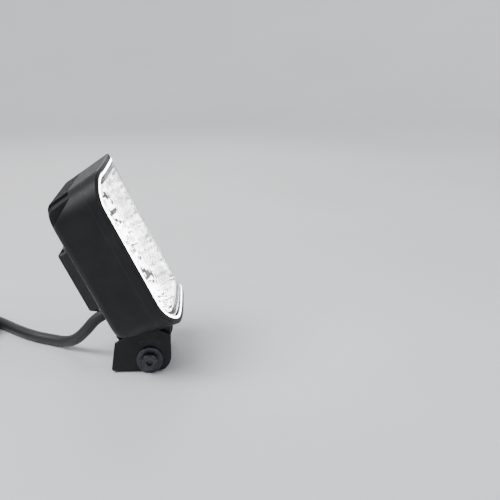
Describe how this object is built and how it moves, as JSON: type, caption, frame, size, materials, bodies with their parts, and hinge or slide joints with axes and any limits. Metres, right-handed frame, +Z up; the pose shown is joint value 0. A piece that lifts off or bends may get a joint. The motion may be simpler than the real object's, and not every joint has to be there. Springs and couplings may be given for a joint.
{
  "type": "fog light",
  "caption": "Square LED fog light with a lit rim, two faceted reflector bowls, a finned shell, a tilting U bracket and a sealed cable with a two-way plug.",
  "frame": {"origin": "centre of the bracket's mounting hole, on the face that the bracket stands on", "axes": "+Z up out of the surface the bracket stands on; the lamp shines towards -Y; X is the tilt axis"},
  "size_m": [0.1563, 0.2412, 0.1359],
  "materials": {
    "bracket_steel": "black powder coat",
    "plated_steel": "black zinc plating",
    "friction_disc": "matte",
    "cast_shell": "black powder coat on die-cast aluminium",
    "black_plastic": "moulded",
    "ring_plastic": "milky light pipe",
    "clear_plastic": "clear polycarbonate",
    "chrome_plastic": "metallised",
    "white_board": "white solder mask",
    "green_board": "green solder mask",
    "led_phosphor": "phosphor",
    "black_rubber": "matte",
    "grey_pad": "soft gap filler",
    "copper": "stranded copper in sheath",
    "component_black": "epoxy",
    "component_silver": "satin",
    "cable_sheath": "matte PVC",
    "bare_steel": "bright zinc",
    "brass_pins": "tinned",
    "orange_wedge": "moulded"
  },
  "bodies": {
    "base": {"bracket": "bracket_steel", "cable": "cable_sheath", "cable_coil": "cable_sheath", "cable_tail": "cable_sheath", "coil_tie": "black_plastic", "connector_body": "black_plastic", "connector_wire_seal": "orange_wedge", "connector_wedge": "orange_wedge", "connector_face_seal": "orange_wedge", "connector_pins": "brass_pins"},
    "head": {"friction_washers": "friction_disc", "pivot_washers": "plated_steel", "spring_washers": "plated_steel", "pivot_bolts": "plated_steel", "housing": "cast_shell", "front_bezel": "black_plastic", "light_ring": "ring_plastic", "lens": "clear_plastic", "mask": "black_plastic", "lens_gasket": "black_rubber", "ring_board": "white_board", "ring_leds": "led_phosphor", "reflector_upper": "chrome_plastic", "reflector_lower": "chrome_plastic", "main_leds": "led_phosphor", "thermal_pad": "grey_pad", "led_board": "white_board", "board_screws": "bare_steel", "driver_cover": "cast_shell", "cover_gasket": "black_rubber", "breather_vent": "black_plastic", "cover_screws": "plated_steel", "driver_board": "green_board", "driver_inductor": "component_black", "driver_capacitors": "component_silver", "driver_transistors": "component_black", "driver_chips": "component_black", "wire_terminal": "white_board", "driver_screws": "bare_steel", "board_wires": "copper", "gland_body": "black_plastic", "gland_nut": "black_plastic", "gland_seal": "black_rubber", "cable_inlet_sheath": "cable_sheath", "cable_cores": "copper"}
  },
  "joints": [
    {"name": "tilt", "type": "hinge", "parent": "base", "child": "head", "pos_m": [0, -0.009, 0.009], "axis": [1, 0, 0], "range_deg": [-25, 40], "deforming": ["cable"]}
  ]
}
